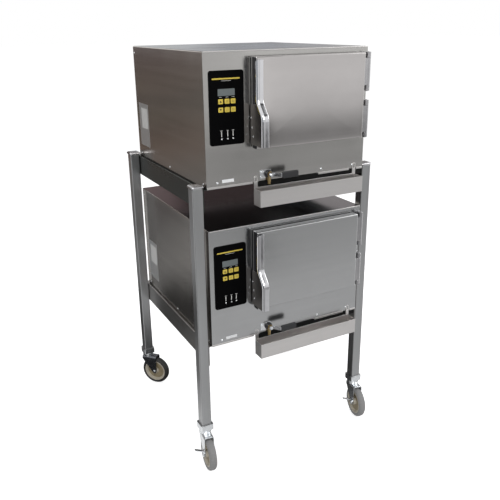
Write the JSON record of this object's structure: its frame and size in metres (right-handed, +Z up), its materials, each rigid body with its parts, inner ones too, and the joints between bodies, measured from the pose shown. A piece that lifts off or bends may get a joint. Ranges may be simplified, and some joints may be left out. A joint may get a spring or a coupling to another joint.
{
  "type": "convection steamer",
  "caption": "Pair of boxy stainless convection steamers stacked on a square-tube stand with swivel casters; hinged doors, drain levers and drip trays.",
  "frame": {"origin": "on the floor under the middle of the whole object's bounding box", "axes": "+Z up; -Y is the front with the doors; +X is the side of the door hinges"},
  "size_m": [0.8968, 0.902, 1.73],
  "materials": {
    "stand_steel": "satin stainless tube and angle, light handling marks",
    "caster_zinc": "bright zinc-plated pressed steel",
    "caster_tread": "dark grey rubber, dusty on the tread",
    "caster_rim": "beige moulded plastic",
    "casing_steel": "stainless sheet, grain front to back",
    "fascia_steel": "stainless sheet, grain across",
    "cavity_steel": "stainless sheet, dull from steam",
    "rack_wire": "drawn stainless wire",
    "panel_membrane": "black membrane with a satin surface",
    "door_steel": "stainless sheet, grain across",
    "gasket_rubber": "black silicone rubber",
    "handle_polished": "polished stainless sheet",
    "hinge_steel": "cast stainless, bright bushings",
    "valve_brass": "plain brass, slightly tarnished",
    "lever_steel": "plated steel strap in a black plastic sleeve",
    "tray_steel": "stainless sheet, grain along the tray"
  },
  "bodies": {
    "root": {"leg_front_left": "stand_steel", "leg_front_right": "stand_steel", "leg_rear_left": "stand_steel", "leg_rear_right": "stand_steel", "lower_base_pan": "casing_steel", "lower_cabinet_leaf_lower": "hinge_steel", "lower_cabinet_leaf_upper": "hinge_steel", "lower_casing_wrap": "casing_steel", "lower_control_panel": "panel_membrane", "lower_drain_valve_body": "valve_brass", "lower_fascia": "fascia_steel", "lower_pan_rack": "rack_wire", "lower_rear_panel": "casing_steel", "lower_steam_cavity": "cavity_steel", "rail_lower_left": "stand_steel", "rail_lower_right": "stand_steel", "rail_upper_left": "stand_steel", "rail_upper_right": "stand_steel", "rear_crossmember_lower": "stand_steel", "rear_crossmember_upper": "stand_steel", "upper_base_pan": "casing_steel", "upper_cabinet_leaf_lower": "hinge_steel", "upper_cabinet_leaf_upper": "hinge_steel", "upper_casing_wrap": "casing_steel", "upper_control_panel": "panel_membrane", "upper_drain_valve_body": "valve_brass", "upper_fascia": "fascia_steel", "upper_pan_rack": "rack_wire", "upper_rear_panel": "casing_steel", "upper_steam_cavity": "cavity_steel"},
    "upper_door": {"upper_door_gasket": "gasket_rubber", "upper_door_handle": "handle_polished", "upper_door_leaf_lower": "hinge_steel", "upper_door_leaf_upper": "hinge_steel", "upper_door_liner": "cavity_steel", "upper_door_outer_pan": "door_steel"},
    "lower_door": {"lower_door_gasket": "gasket_rubber", "lower_door_handle": "handle_polished", "lower_door_leaf_lower": "hinge_steel", "lower_door_leaf_upper": "hinge_steel", "lower_door_liner": "cavity_steel", "lower_door_outer_pan": "door_steel"},
    "caster_front_left_brake": {"caster_front_left_brake_lever": "caster_zinc"},
    "caster_front_left_fork_body": {"caster_front_left_fork": "caster_zinc"},
    "caster_front_left_wheel": {"caster_front_left_tyre": "caster_tread", "caster_front_left_wheel_hub": "caster_rim"},
    "caster_front_right_brake": {"caster_front_right_brake_lever": "caster_zinc"},
    "caster_front_right_fork_body": {"caster_front_right_fork": "caster_zinc"},
    "caster_front_right_wheel": {"caster_front_right_tyre": "caster_tread", "caster_front_right_wheel_hub": "caster_rim"},
    "caster_rear_left_fork_body": {"caster_rear_left_fork": "caster_zinc"},
    "caster_rear_left_wheel": {"caster_rear_left_tyre": "caster_tread", "caster_rear_left_wheel_hub": "caster_rim"},
    "caster_rear_right_fork_body": {"caster_rear_right_fork": "caster_zinc"},
    "caster_rear_right_wheel": {"caster_rear_right_tyre": "caster_tread", "caster_rear_right_wheel_hub": "caster_rim"},
    "lower_drain_lever": {"lower_drain_valve_lever": "lever_steel"},
    "lower_drip_tray_body": {"lower_drip_tray": "tray_steel"},
    "upper_drain_lever": {"upper_drain_valve_lever": "lever_steel"},
    "upper_drip_tray_body": {"upper_drip_tray": "tray_steel"}
  },
  "joints": [
    {"name": "upper_door_hinge", "type": "hinge", "parent": "root", "child": "upper_door", "pos_m": [0.347, -0.3785, 1.541], "axis": [0, 0, 1], "range_deg": [0, 170]},
    {"name": "upper_drain_lever_turn", "type": "hinge", "parent": "root", "child": "upper_drain_lever", "pos_m": [-0.099, -0.3535, 1.265], "axis": [0, -1, 0], "range_deg": [0, 90]},
    {"name": "upper_drip_tray_lift", "type": "slide", "parent": "root", "child": "upper_drip_tray_body", "axis": [0, 0, 1], "range_m": [0, 0.01]},
    {"name": "lower_door_hinge", "type": "hinge", "parent": "root", "child": "lower_door", "pos_m": [0.347, -0.3785, 0.879], "axis": [0, 0, 1], "range_deg": [0, 170]},
    {"name": "lower_drain_lever_turn", "type": "hinge", "parent": "root", "child": "lower_drain_lever", "pos_m": [-0.099, -0.3535, 0.603], "axis": [0, -1, 0], "range_deg": [0, 90]},
    {"name": "lower_drip_tray_lift", "type": "slide", "parent": "root", "child": "lower_drip_tray_body", "axis": [0, 0, 1], "range_m": [0, 0.01]},
    {"name": "caster_front_left_swivel", "type": "hinge", "parent": "root", "child": "caster_front_left_fork_body", "pos_m": [-0.3945, -0.3225, 0.175], "axis": [0, 0, 1], "continuous": true},
    {"name": "caster_front_left_roll", "type": "hinge", "parent": "caster_front_left_fork_body", "child": "caster_front_left_wheel", "pos_m": [-0.39962, -0.36419, 0.073], "axis": [0.9925, -0.1219, 0], "continuous": true},
    {"name": "caster_front_left_brake_press", "type": "hinge", "parent": "caster_front_left_fork_body", "child": "caster_front_left_brake", "pos_m": [-0.39962, -0.36419, 0.073], "axis": [-0.9925, 0.1219, 0], "range_deg": [0, 30]},
    {"name": "caster_front_right_swivel", "type": "hinge", "parent": "root", "child": "caster_front_right_fork_body", "pos_m": [0.3945, -0.3225, 0.175], "axis": [0, 0, 1], "continuous": true},
    {"name": "caster_front_right_roll", "type": "hinge", "parent": "caster_front_right_fork_body", "child": "caster_front_right_wheel", "pos_m": [0.38721, -0.36386, 0.073], "axis": [0.9848, -0.1736, 0], "continuous": true},
    {"name": "caster_front_right_brake_press", "type": "hinge", "parent": "caster_front_right_fork_body", "child": "caster_front_right_brake", "pos_m": [0.38721, -0.36386, 0.073], "axis": [-0.9848, 0.1736, 0], "range_deg": [0, 30]},
    {"name": "caster_rear_left_swivel", "type": "hinge", "parent": "root", "child": "caster_rear_left_fork_body", "pos_m": [-0.3945, 0.4175, 0.175], "axis": [0, 0, 1], "continuous": true},
    {"name": "caster_rear_left_roll", "type": "hinge", "parent": "caster_rear_left_fork_body", "child": "caster_rear_left_wheel", "pos_m": [-0.3664, 0.38629, 0.073], "axis": [0.7431, 0.6691, 0], "continuous": true},
    {"name": "caster_rear_right_swivel", "type": "hinge", "parent": "root", "child": "caster_rear_right_fork_body", "pos_m": [0.3945, 0.4175, 0.175], "axis": [0, 0, 1], "continuous": true},
    {"name": "caster_rear_right_roll", "type": "hinge", "parent": "caster_rear_right_fork_body", "child": "caster_rear_right_wheel", "pos_m": [0.40955, 0.37829, 0.073], "axis": [0.9336, 0.3584, 0], "continuous": true}
  ]
}
